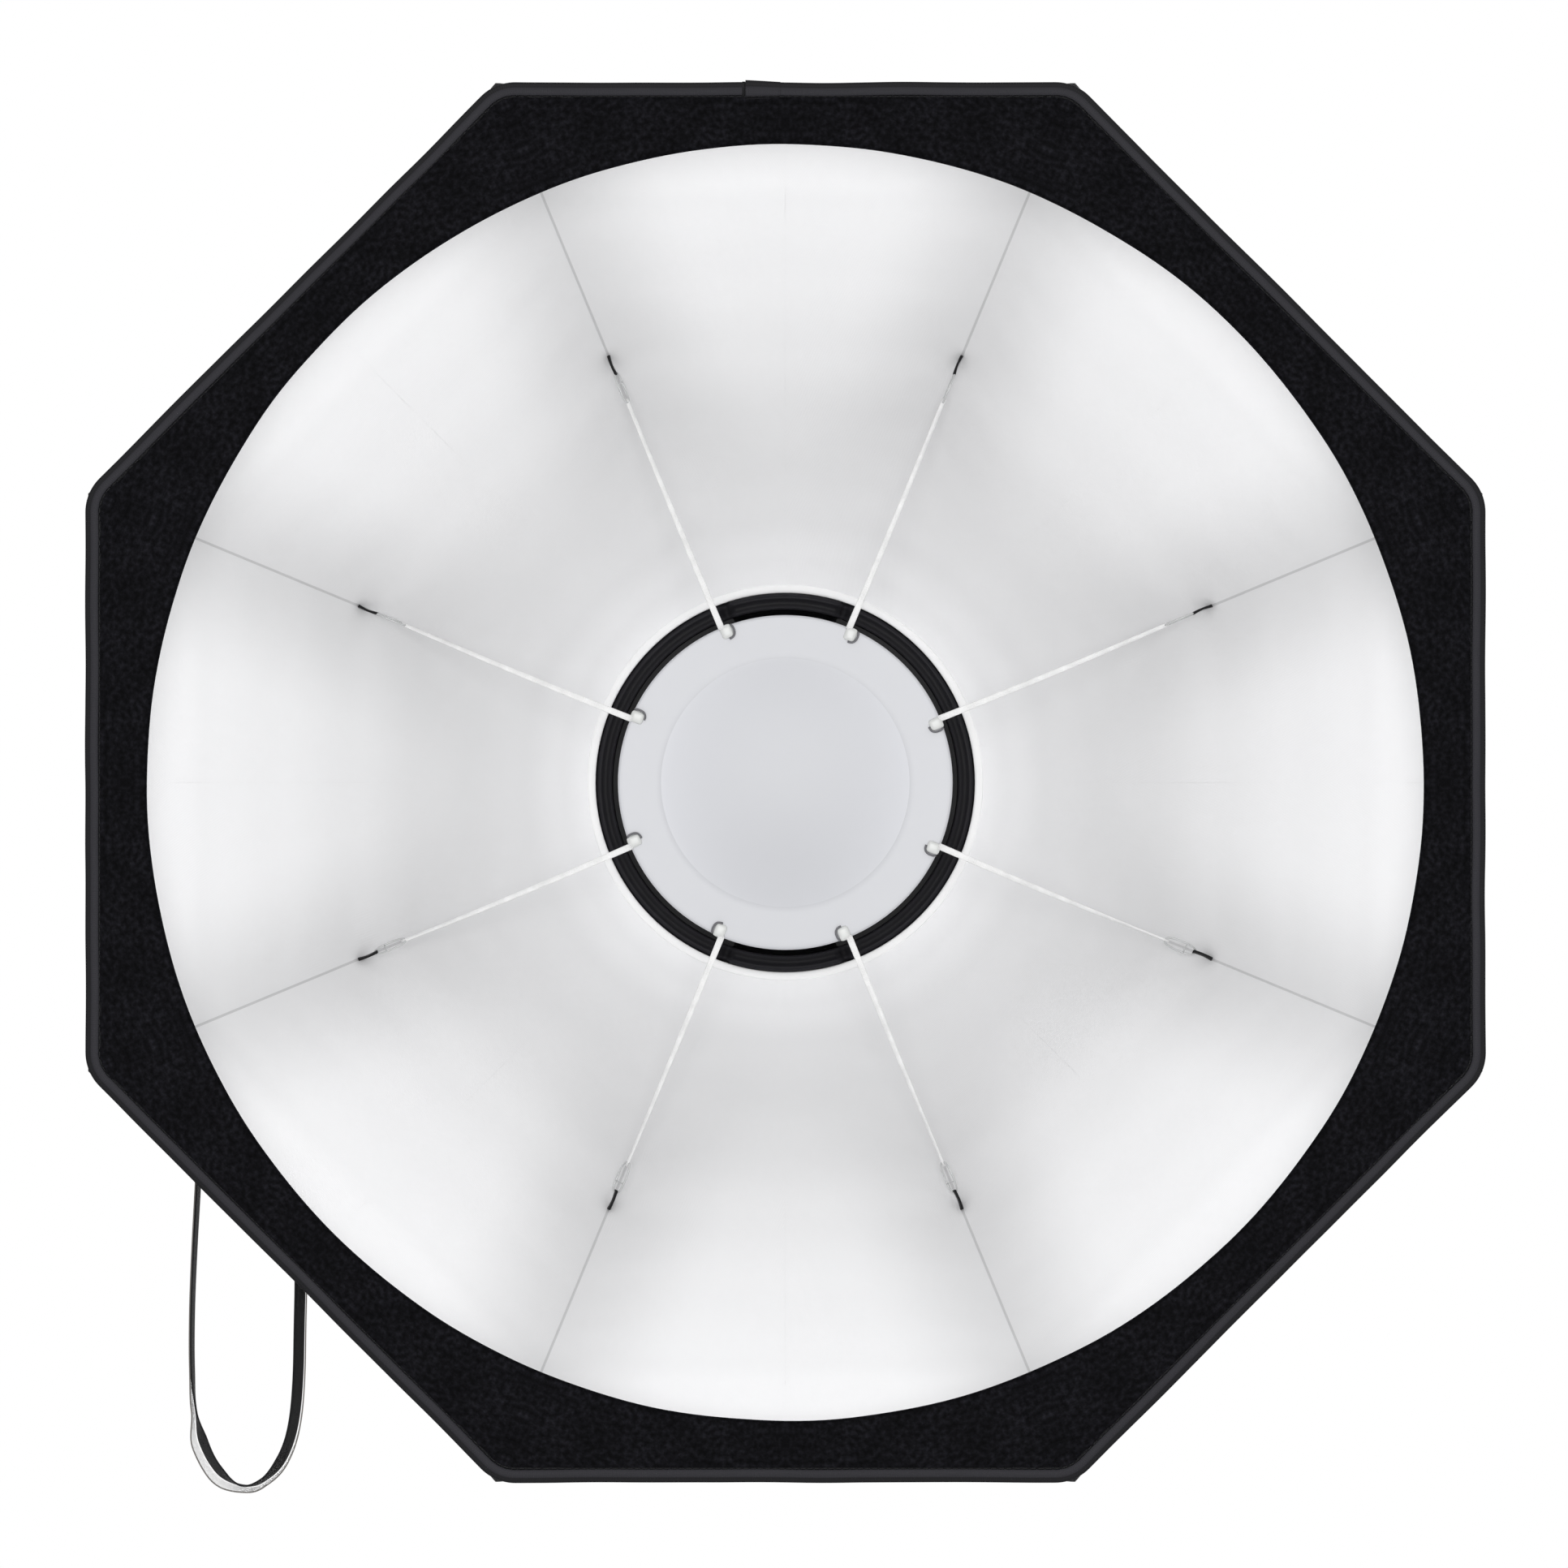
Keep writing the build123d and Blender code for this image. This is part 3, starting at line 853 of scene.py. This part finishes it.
def make_canopy(mats):
    for number, word, side, azimuth in half_gores():
        shell = half_gore(f"shell_{number}_{word}", azimuth, side, SHELL_OUT, 1.0, side < 0)
        dress(shell, mats["nylon"])
        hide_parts(f"canopy_panel_{number}_{word}")
        lining = half_gore(f"lining_{number}_{word}", azimuth, side, 0.0, LINING_REACH, side > 0)
        dress(lining, mats["satin"])
        for piece, lag in ((shell, 0.0), (lining, LINING_LAG)):
            bend_with_rod(piece)


# --- bound edge
def edge_radius(offset, inset):
    """Distance from the axis to the rounded octagon, by the angle from a corner."""
    centre = (EDGE_APOTHEM - CORNER_ROUND) / cos(HALF)
    half_side = (EDGE_APOTHEM - CORNER_ROUND) * tan(HALF)
    straight = (EDGE_APOTHEM - inset) / cos(HALF - offset)
    if straight * sin(HALF - offset) <= half_side:
        return straight
    small = CORNER_ROUND - inset
    return centre * cos(offset) + sqrt(small**2 - (centre * sin(offset)) ** 2)


def edge_place(azimuth, side, share, inset, forward):
    offset = share * HALF
    return place(edge_radius(offset, inset), forward, azimuth + side * offset)


def edge_share(step):
    """Closer steps beside the corner, where the cloth bends, than along the side."""
    return two_paces(step, FINE_SHARE)


def edge_wobble(azimuth):
    return 0.0004 * noise.noise(radial(azimuth) * 9.0)


def binding_section(grow=1.0):
    """The folded tape: a slope outside, a crown inside it, then the stitched groove."""
    section = []
    for x, y in rounded(BINDING_SIDES, 0.75):
        x *= BINDING_HALF_WIDTH
        y *= BINDING_HALF_DEPTH
        if y > 0:
            y *= 1 - 0.75 * smooth((x - 0.0006) / 0.0028)
            y -= 0.0011 * exp(-(((x + 0.0029) / 0.00045) ** 2))
        section.append((x * grow, y * grow))
    return section


def binding_rings(azimuth, side, shares, section):
    """The tape's sections at shares of the half side, square to the edge."""

    def middle(share):
        return edge_place(azimuth, side, share, BINDING_HALF_WIDTH, BINDING_MIDDLE)

    rings = []
    for share in shares:
        here = middle(share)
        along_edge = middle(min(share + 0.01, 1)) - middle(max(share - 0.01, 0))
        normal = along_edge.cross(AWAY).normalized() * side
        if share == 0:
            normal = radial(azimuth)
        if share == 1:
            normal = radial(azimuth + side * HALF)
        if normal.dot(here) < 0:
            normal = -normal
        lift = edge_wobble(azimuth + side * share * HALF)
        rings.append([here + normal * (x + lift) + AWAY * y for x, y in section])
    return rings


def tape_piece(name, rings, shares):
    """Its cloth coordinates run across the tape and along the side."""
    tape = tube(name, rings, closed_ends=len(rings) < 40)
    count = BINDING_SIDES
    set_uv(tape, lambda index, spot: (index % count / count, shares[index // count] * HALF_SIDE))
    return tape


def make_bindings(mats):
    """The tape folded over the rim, one run for each half gore."""
    shares = [edge_share(t) for t in evenly(60)]
    for number, word, side, azimuth in half_gores():
        rings = binding_rings(azimuth, side, shares, binding_section())
        tape = tape_piece(f"binding_{number}_{word}", rings, shares)
        dress(tape, mats["binding"])
        bend_with_rod(tape)


def make_tape_end(mats):
    """The tape's free end, lapped over its start near the middle of the top side, with a black piece as
    painted shade beside the lap's raised end.
    """
    azimuth = rod_azimuth(3)
    first = (azimuth - LAP_START) / HALF
    last = (azimuth - LAP_END) / HALF
    shares = [first + (last - first) * i / 12 for i in range(13)]
    rings = []
    for i, share in enumerate(shares):
        rings += binding_rings(azimuth, -1, [share], binding_section(1.25 - 0.2 * i / 12))
    lap = tape_piece("binding_lap", rings, shares)
    dress(lap, mats["binding"])
    # painted shade: a short black piece of tape in the notch beside the lap's raised end
    lap_shade_shares = [first - 0.0008, first - 0.012]
    lap_shade_rings = binding_rings(azimuth, -1, lap_shade_shares, binding_section(1.06))
    lap_shade = tape_piece("binding_lap_shade", lap_shade_rings, lap_shade_shares)
    dress(lap_shade, mats["webbing"])
    for piece in (lap, lap_shade):
        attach(piece, "panel_3_cw")


def add_stitch(verts, faces, a, b):
    """One stitch from a to b, thin at both ends."""
    sides = 6
    across = (b - a).normalized().cross(AWAY)
    base = len(verts)
    for share, fat in ((0, 0.3), (0.2, 1), (0.8, 1), (1, 0.3)):
        spot = a.lerp(b, share)
        for x, y in rounded(sides, 1.0):
            verts.append(spot + (across * x + AWAY * y) * THREAD_RADIUS * fat)
    for ring in range(3):
        for k in range(sides):
            p = base + ring * sides + k
            q = base + ring * sides + (k + 1) % sides
            faces.append((p, q, q + sides, p + sides))
    faces.append(tuple(base + k for k in reversed(range(sides))))
    faces.append(tuple(base + 3 * sides + k for k in range(sides)))


def make_stitches(mats):
    """Single stitches along the binding's groove."""
    forward = BINDING_MIDDLE + BINDING_HALF_DEPTH - 0.0008
    inset = BINDING_HALF_WIDTH + 0.0029
    for number, word, side, azimuth in half_gores():
        verts, faces = [], []
        for stitch in range(STITCHES):
            ends = [(stitch + 0.12) / STITCHES, (stitch + 0.84) / STITCHES]
            add_stitch(verts, faces, *(edge_place(azimuth, side, t, inset, forward) for t in ends))
        stitches = mesh_object(f"stitches_{number}_{word}", verts, faces, [(v.x, v.z) for v in verts])
        face_outwards(stitches)
        dress(stitches, mats["thread"])
        bend_with_rod(stitches)


def band_height(azimuth, share, v):
    """Forward offset of the pile band: slack between corners, creases at the corners."""
    near_corner = smooth(1 - share / 0.30)
    crease = sin(share * 62 + 2.2 * v + azimuth) * 0.0011 * near_corner
    crease *= smooth(v / 0.35) * smooth(share / 0.04)
    slack = noise.noise(radial(azimuth) * 5.0 + AWAY * (v * 1.5 + 8.8)) * 0.0008
    return crease + slack * smooth(v / 0.25) * smooth((1 - v) / 0.2)


def make_bands(mats):
    """The flat pile band: a rolled inner edge, out to under the binding."""
    lip_rows = 5
    rows = 26
    roll = 0.0006
    for number, word, side, azimuth in half_gores():

        def point(i, j):
            share = edge_share(j)
            offset = share * HALF
            turned = azimuth + side * offset
            inner = OPENING_RADIUS + 0.0004 * noise.noise(radial(turned) * 7.0)
            row = round(i * rows)
            if row <= lip_rows:
                angle = pi * (1 - row / lip_rows)
                r = inner + roll - roll * sin(angle)
                forward = BAND_FRONT - roll - roll * cos(angle)
            else:
                v = (row - lip_rows) / (rows - lip_rows)
                r = inner + roll + (edge_radius(offset, BAND_INSET) - inner - roll) * v
                forward = BAND_FRONT + band_height(turned, share, v)
            return place(r, forward, turned), (offset * inner, r)

        band = grid(f"band_{number}_{word}", rows, 32, point, side > 0)
        dress(band, mats["velour"])
        if side > 0:
            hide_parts(f"front_band_{number}")
        bend_with_rod(band)


def pocket_section(side, half_width, top, number, t):
    """Half a pocket's section, across the rod and outwards: its outer face, then its inner."""
    section = []
    spread = smooth((t - 0.05) / 0.4)
    hem = 0.0004 * exp(-(((t - 0.05) / 0.03) ** 2))
    hem -= 0.0003 * exp(-(((t - 0.13) / 0.02) ** 2))
    for k in range(13):
        x = sin(pi / 2 * k / 12)
        fold = 0.0003 * noise.noise(Vector((side * x * 2.5, t * 5, number * 2.0)))
        tight = POCKET_BASE + (top - POCKET_BASE) * exp(-((x * half_width / 0.0056) ** 4))
        wide = top * (1 - 0.55 * x**1.8)
        crown = (tight + (wide - tight) * spread + hem) * cos(pi / 2 * (k / 12) ** 4)
        section.append((side * x * half_width, max(SHELL_OUT, crown) + fold * x))
    section += [(side * half_width * x, POCKET_INNER) for x in (0.9, 0.6, 0.3, 0.0)]
    return section


def make_corner_pockets(mats):
    """A pocket of doubled cloth over each rod's tip, outside the binding, in two halves."""
    straighten = tan(HALF) * sin(END_TURN) / ARC_RADIUS
    for number, word, side, azimuth in half_gores():
        stand = POCKET_STAND * smooth((abs(sin(azimuth)) - 0.4) / 0.5)
        high = ROD_OFFSET + CAP_RADIUS + 0.0003 + stand
        rings = []
        for t in evenly(40):
            turn = END_TURN + POCKET_TURN * (1 - t) - 0.001
            top = high * (POCKET_LIP + (1 - POCKET_LIP) * smooth((1 - t) / 0.32))
            half_width = POCKET_HALF_WIDTH * (1.06 - 0.06 * smooth(t / 0.3))
            lift = radial(azimuth) * cos(turn) - AWAY * sin(turn)
            ring = []
            for x, out in pocket_section(side, half_width, top, number, t):
                r, forward = profile(turn - straighten * abs(x) * (1 - t), 0)
                r -= abs(x) * tan(HALF)
                ring.append(place(r, forward, azimuth) + tangent(azimuth) * x + lift * out)
            rings.append(ring)
        pocket = tube(f"corner_pocket_{number}_{word}", rings)
        dress(pocket, mats["webbing"])
        bend_with_rod(pocket)


def make_rod_sleeves(mats):
    """The channel sewn along each seam outside, which holds the rod, in two halves."""
    top = ROD_OFFSET + ROD_RADIUS + 0.0003 - SHELL_OUT
    for number, word, side, azimuth in half_gores():

        def point(i, j):
            u = 0.075 + i * 0.885
            turn = START_TURN + (END_TURN - START_TURN) * u
            x = j * CHANNEL_HALF_WIDTH
            hump = exp(-((x / 0.0046) ** 4))
            ridge = 0.0005 * exp(-(((x - 0.0085) / 0.0009) ** 2))
            wrinkle = 0.00025 * noise.noise(Vector((i * 40, side * j * 2, number * 3.1)))
            r, forward = profile(turn, SHELL_OUT + 0.0004 + top * hump + ridge + wrinkle)
            r -= x * tan(HALF) * smooth(u / FLAT_FROM) * cos(turn) * 0.9
            return place(r, forward, azimuth) + tangent(azimuth) * x * side, (x, u * PROFILE_LENGTH)

        sleeve = grid(f"rod_sleeve_{number}_{word}", 96, 16, point, side < 0)
        dress(sleeve, mats["nylon"])
        bend_with_rod(sleeve)


def make_collars(mats):
    """The lining's white hem round the speedring, and the shell's black one behind it."""

    def hem(azimuth):
        wave = 0.0002 * noise.noise(radial(azimuth) * 12)
        return [(0.0936 + 0.0020 * x, 0.0073 + wave + 0.0008 * y) for x, y in rounded(12, 1.0)]

    def back(azimuth):
        return [(0.0937 + 0.0022 * x, 0.0053 + 0.0007 * y) for x, y in rounded(12, 0.7)]

    for name, section, look, slot in (
        ("lining_hem", hem, "hem", "white_satin"),
        ("shell_hem", back, "webbing", "black_nylon"),
    ):
        ring = spun(name, section, 144)
        dress(ring, mats[look])
        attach(ring, "speedring")


def make_trim_ring(mats):
    """The speedring's front trim: a crowned lip, a deep inner step and two raised pads."""

    def section(azimuth):
        from_pad = abs(abs(azimuth - pi) - pi / 2)
        pad = 1 - smooth((from_pad - PAD_HALF_ANGLE) / 0.012)
        gap = exp(-(((from_pad - PAD_HALF_ANGLE - 0.035) / 0.022) ** 4))
        front = 0.0080 + 0.0016 * pad - 0.0022 * gap
        step = 0.0030 + 0.0022 * pad
        return [
            (0.0916, 0.0004),
            (0.0916, front - 0.0022),
            (0.0912, front - 0.0012),
            (0.0905, front - 0.0004),
            (0.0896, front + 0.0001 + 0.0003 * pad),
            (0.0886, front - 0.0003 + 0.0002 * pad),
            (0.0872, front - 0.0006),
            (0.0858, front - 0.0005),
            (0.0848, front - 0.0001),
            (0.0841, front - 0.0001),
            (0.0836, front - 0.0006),
            (0.0834, front - 0.0016),
            (0.0832, step + 0.0004),
            (0.0828, step),
            (0.0780, step - 0.0002),
            (0.0730, step - 0.0002),
            (0.0723, step - 0.0006),
            (0.0720, step - 0.0014),
            (0.0720, 0.0004),
        ]

    ring = spun("trim_ring", section, 360)
    width = TRIM_RADIUS - TRIM_BORE
    # the share across the trim carries its painted light and shade
    set_uv(ring, lambda index, spot: ((hypot(spot.x, spot.z) - TRIM_BORE) / width, spot.y))
    dress(ring, mats["ring"])
    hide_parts("front_trim_ring")
    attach(ring, "speedring")


def make_disc(mats):
    """The deflector: a thin pressed disc with a low dome and a rolled rim."""

    def surface(r, side):
        inside = max(0.0, 1 - (r / DOME_RADIUS) ** 2)
        rise = DOME_HEIGHT * inside**1.06
        return DISC_FORWARD + side * DISC_HALF_THICK + rise

    def section(azimuth):
        count = 48
        steps = [DISC_RADIUS * 0.985 * k / count for k in range(count + 1)]
        front = [(r, surface(r, 1)) for r in steps]
        rim = []
        for k in range(1, 8):
            angle = pi * (0.5 - k / 8)
            r = DISC_RADIUS * 0.985 + DISC_RADIUS * 0.015 * cos(angle)
            rim.append((r, DISC_FORWARD + DISC_HALF_THICK * sin(angle)))
        back = [(r, surface(r, -1)) for r in reversed(steps)]
        return front + rim + back

    disc = spun("deflector", section, 144)
    # the disc's coordinates across its face carry its painted light
    set_uv(disc, lambda index, spot: (spot.x, spot.z))
    dress(disc, mats["disc"])
    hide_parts("deflector_disc")
    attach(disc, "speedring")


# --- cords, links, clips and fittings
def make_cords(mats):
    """Flat white elastics from the clips to the seam loops."""
    for number in range(1, GORES + 1):
        azimuth = rod_azimuth(number)
        rings = []
        for t in evenly(40):
            r = CORD_START + (CORD_END - CORD_START) * t
            width = 0.0031 - 0.0009 * t
            roll = radians(35 + 6 * number) * t
            across = tangent(azimuth) * cos(roll) + AWAY * sin(roll)
            face = radial(azimuth).cross(across)
            sag = Vector((0, 0, -0.0006 * sin(pi * t)))
            centre = place(r, DISC_FORWARD + 0.0016 * (1 - t), azimuth) + sag
            rings.append(flat_ring(centre, across, face, width, 0.001, 12, 0.6))
        cord = tube(f"elastic_cord_{number}", rings)
        set_uv(cord, lambda index, spot: (index % 12 * 0.0006, index // 12 * 0.003))
        dress(cord, mats["elastic"])
        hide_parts("deflector_cords")
        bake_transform(cord)


def swept(name, points, radius, closed=False):
    """A round wire through points."""
    rings = []
    count = len(points)
    for i, here in enumerate(points):
        if closed:
            ahead = points[(i + 1) % count] - points[i - 1]
        else:
            ahead = points[min(i + 1, count - 1)] - points[max(i - 1, 0)]
        ahead.normalize()
        side = ahead.cross(AWAY)
        if side.length < 0.1:
            side = ahead.cross(Vector((0.3, 0.2, 0.9)))
        side.normalize()
        up = ahead.cross(side)
        rings.append([here + (side * x + up * y) * radius for x, y in rounded(10, 1.0)])
    if closed:
        return tube(name, rings + rings[:1], closed_ends=False, weld=1e-7)
    return tube(name, rings)


def make_loops(mats):
    """A sewn tab and a clear link at each seam."""
    length = LOOP_OUTER - LOOP_INNER
    for number in range(1, GORES + 1):
        azimuth = rod_azimuth(number)
        out = radial(azimuth)
        roll = radians(LOOP_ROLL[number - 1])
        wide = AWAY * cos(roll) + tangent(azimuth) * sin(roll)
        middle = place(LOOP_INNER + length / 2, DISC_FORWARD, azimuth)
        points = [middle + out * x * length / 2 + wide * y * LINK_HALF_WIDTH for x, y in rounded(48, 0.8)]
        link = swept(f"seam_link_{number}", points, LINK_WIRE, closed=True)
        bar_points = [middle + out * 0.0025 + wide * (k - 2) * 0.0014 for k in range(5)]
        bar = swept(f"seam_link_bar_{number}", bar_points, LINK_BAR)
        flat = AWAY * cos(roll / 5) + tangent(azimuth) * sin(roll / 5)
        thin = flat.cross(out)

        def point(i, j):
            x, y = squared(tau * j, 0.6)
            r = LOOP_OUTER - 0.0012 + (TAB_END - LOOP_OUTER + 0.0012) * i
            bow = 0.0004 * sin(pi * i)
            thick = 0.00075 - 0.0002 * sin(pi * i)
            where = place(r, DISC_FORWARD, azimuth) + flat * x * 0.0024 + thin * (y * thick + bow)
            return where, (x * 0.003, r)

        tab = grid(f"seam_tab_{number}", 14, 20, point)
        face_outwards(tab, 1e-7)
        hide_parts(f"cord_anchor_{number}")
        for piece, look, slot in (
            (link, "clear", "loop_clear"),
            (bar, "clear", "loop_clear"),
            (tab, "webbing", "black_webbing"),
        ):
            dress(piece, mats[look])
            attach(piece, f"rod_{number}")


def make_clips(mats):
    """A white jaw on the disc's rim and a thin grey hook beside it."""
    for number in range(1, GORES + 1):
        azimuth = rod_azimuth(number)
        across = -tangent(azimuth)
        rings = []
        for t in evenly(18):
            x_end, height = squared(pi * (0.04 + 0.92 * t), 0.5)
            r = CLIP_MIDDLE - x_end * CLIP_HALF_LENGTH
            ring = []
            for x, y in rounded(24, 0.5):
                spot = place(r, DISC_FORWARD + y * 0.0022 * height, azimuth)
                ring.append(spot + across * (0.0017 + x * 0.0029 * height))
            rings.append(ring)
        jaw = tube(f"clip_jaw_{number}", rings)
        dress(jaw, mats["clip"])
        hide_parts("deflector_clips")
        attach(jaw, "speedring")
        centre = place(CLIP_MIDDLE, DISC_FORWARD + 0.0017, azimuth) + across * 0.0017
        points = []
        for k in range(19):
            angle = radians(-40 + 130 * k / 18)
            x, y = squared(angle, 0.8)
            points.append(centre + radial(azimuth) * CLIP_HALF_LENGTH * 1.1 * -y + across * 0.0036 * x)
        hook = swept(f"clip_hook_{number}", points, HOOK_WIRE)
        dress(hook, mats["hook"])
        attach(hook, "speedring")


def make_screws(mats):
    """Socket screws in the rear cover: a rounded head with a six-sided socket."""
    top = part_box("cover_screws")[1][1]
    outline = ((1.0, -SCREW_HEAD_HEIGHT), (1.0, -0.0006), (0.95, -0.0002), (0.84, 0.0))
    angles = [tau * k / 24 for k in range(24)]
    flats = [cos(pi / 6) / cos(a % (pi / 3) - pi / 6) for a in angles]
    for number in range(1, GORES + 1):
        middle = radial(2 * HALF * (number - 1)) * SCREW_CIRCLE - AWAY * top
        # each screw has stopped at an angle of its own
        spokes = [radial(a + number) for a in angles]
        rings = []
        for share, rise in outline:
            rings.append([middle + spoke * (SCREW_HEAD_RADIUS * share) - AWAY * rise for spoke in spokes])
        for share, rise in ((1.0, 0.0), (0.96, -SOCKET_DEPTH)):
            reach = SOCKET_RADIUS * share
            rings.append([middle + spoke * (reach * f) - AWAY * rise for spoke, f in zip(spokes, flats)])
        head = tube(f"cover_screw_{number}", rings)
        head.data.set_sharp_from_angle(angle=radians(40))
        dress(head, mats["steel"])
        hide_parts("cover_screws")
        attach(head, "speedring")


def make_grip_sleeve(mats):
    """The rubber lining of the lamp's bore: ribs along it and a lip behind."""

    def section(azimuth):
        groove = GRIP_DEPTH * (0.5 - 0.5 * cos(GRIP_RIBS * azimuth)) ** 0.6
        bore = LAMP_BORE + groove
        back = SLEEVE_BACK - LIP_THICKNESS
        return [
            (bore + 0.0006, SLEEVE_FRONT),
            (SLEEVE_RADIUS, SLEEVE_FRONT),
            (SLEEVE_RADIUS, SLEEVE_BACK),
            (LIP_RADIUS, SLEEVE_BACK),
            (LIP_RADIUS, back + 0.0006),
            (LIP_RADIUS - 0.0006, back),
            (LAMP_BORE + 0.0022, back),
            (LAMP_BORE + 0.0014, back + 0.0004),
            (bore, back + 0.0030),
            (bore, SLEEVE_FRONT - 0.0010),
        ]

    sleeve = spun("grip_sleeve_ribbed", section, 480)
    sleeve.data.set_sharp_from_angle(angle=radians(40))
    dress(sleeve, mats["rubber"])
    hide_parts("grip_sleeve")
    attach(sleeve, "lamp_insert")


def dress_cad_nodes(mats):
    """Materials for the CAD parts that show as they are."""
    looks = {
        "lamp_insert": "insert",
        "speedring_body": "body",
        "rear_cover_ring": "body",
        "hinge_pins": "steel",
    }
    for number in range(1, GORES + 1):
        looks[f"support_rod_{number}"] = "rod"
        looks[f"rod_fittings_{number}"] = "steel"
    for name, look in looks.items():
        dress(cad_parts[name], mats[look])


make_camera()
make_room()
mats = all_materials()
make_strap(mats)
make_canopy(mats)
make_bindings(mats)
make_tape_end(mats)
make_stitches(mats)
make_bands(mats)
make_corner_pockets(mats)
make_rod_sleeves(mats)
make_collars(mats)
make_trim_ring(mats)
make_disc(mats)
make_cords(mats)
make_loops(mats)
make_clips(mats)
make_screws(mats)
make_grip_sleeve(mats)
dress_cad_nodes(mats)
